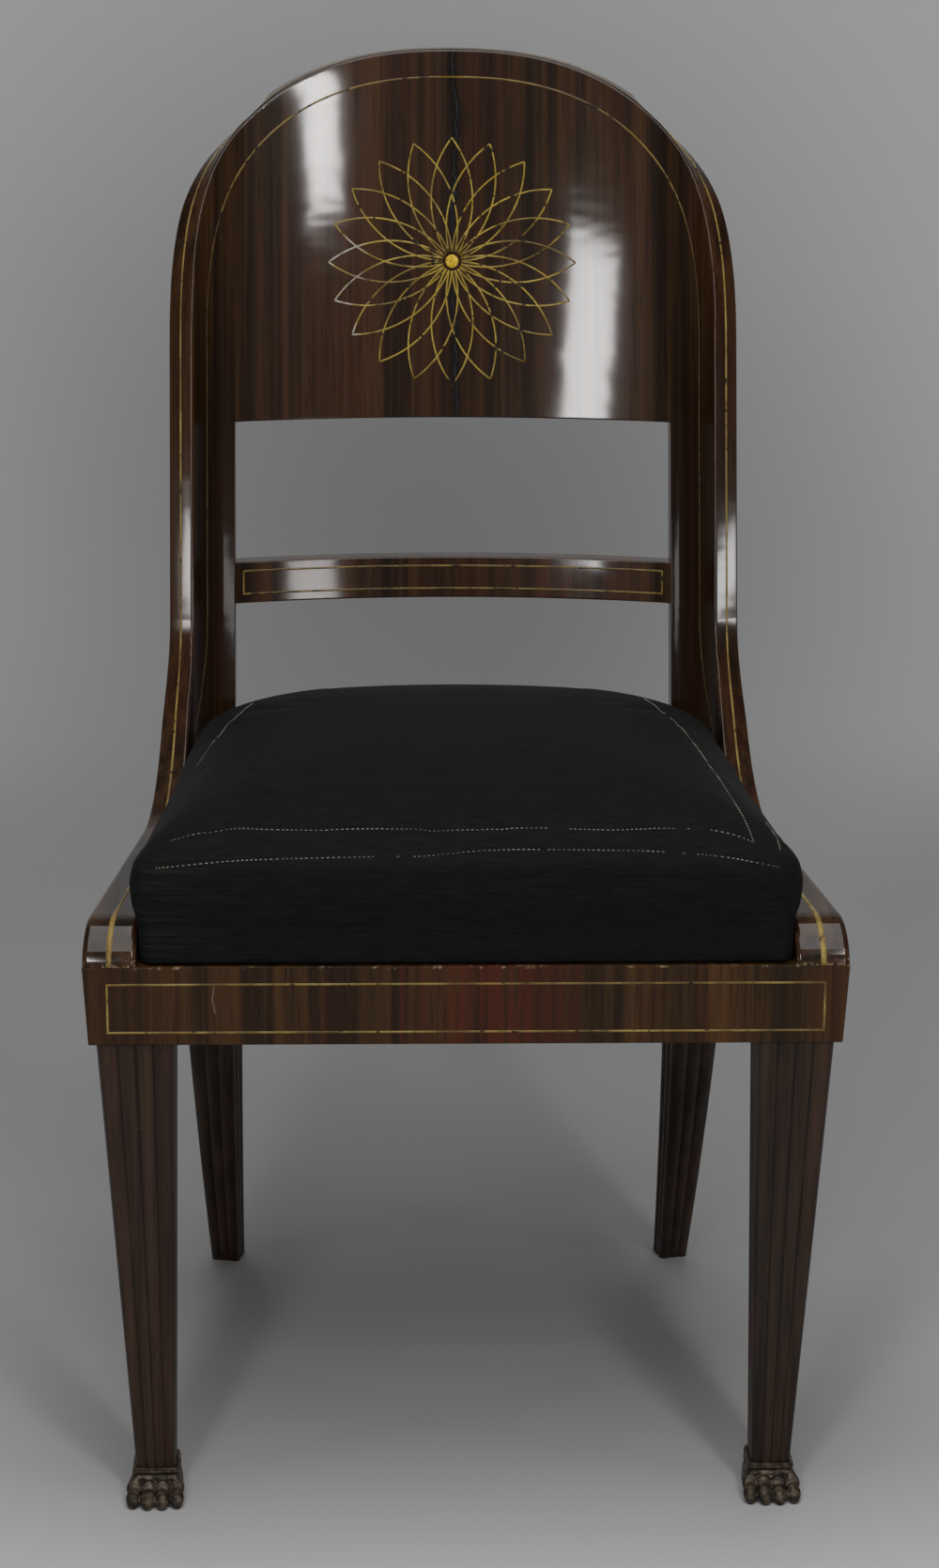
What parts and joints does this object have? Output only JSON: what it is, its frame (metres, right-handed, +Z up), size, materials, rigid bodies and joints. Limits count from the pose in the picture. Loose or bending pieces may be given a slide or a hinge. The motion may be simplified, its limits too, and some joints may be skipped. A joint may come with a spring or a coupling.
{
  "type": "gondola chair",
  "caption": "Gondola side chair: a raked, curved back swept down into the seat rails, reeded tapered and sabre legs, paw feet, inlaid stringing, and an upholstered seat that lifts out.",
  "frame": {"origin": "bottom centre of the whole chair's box, on the floor", "axes": "+Z up, the chair faces -Y, +X to the right of someone facing the chair"},
  "size_m": [0.4874, 0.5429, 0.914],
  "materials": {
    "rosewood": "french polish",
    "stringing": "polished, worn",
    "bronze": "dark patina",
    "beech": "bare, aged",
    "haircloth": "black weave",
    "horsehair": "curled hair",
    "hessian": "open weave",
    "webbing": "woven strap"
  },
  "bodies": {
    "frame": {"crest_left": "rosewood", "crest_right": "rosewood", "stile_left": "rosewood", "stile_right": "rosewood", "side_rail_left": "rosewood", "side_rail_right": "rosewood", "front_leg_left": "rosewood", "front_leg_right": "rosewood", "rear_leg_left": "rosewood", "rear_leg_right": "rosewood", "paw_foot_left": "bronze", "paw_foot_right": "bronze", "front_block_left": "beech", "front_block_right": "beech", "rear_block_left": "beech", "rear_block_right": "beech", "ledger_left": "beech", "ledger_right": "beech", "edge_string_left": "stringing", "edge_string_right": "stringing", "face_string_left": "stringing", "face_string_right": "stringing", "front_rail": "rosewood", "back_rail": "rosewood", "mid_rail": "rosewood", "crest_tongue": "beech", "back_dowels": "beech", "seat_dowels": "beech", "star_disc": "stringing", "front_string": "stringing", "mid_string": "stringing"},
    "slip_seat": {"slip_front": "beech", "slip_back": "beech", "slip_side_left": "beech", "slip_side_right": "beech", "slip_dowels": "beech", "webbing_long": "webbing", "webbing_cross": "webbing", "hessian": "hessian", "hair_stuffing": "horsehair", "haircloth_cover": "haircloth"}
  },
  "joints": [
    {"name": "seat_lift", "type": "slide", "parent": "frame", "child": "slip_seat", "axis": [0, 0, 1], "range_m": [0, 0.15]}
  ]
}
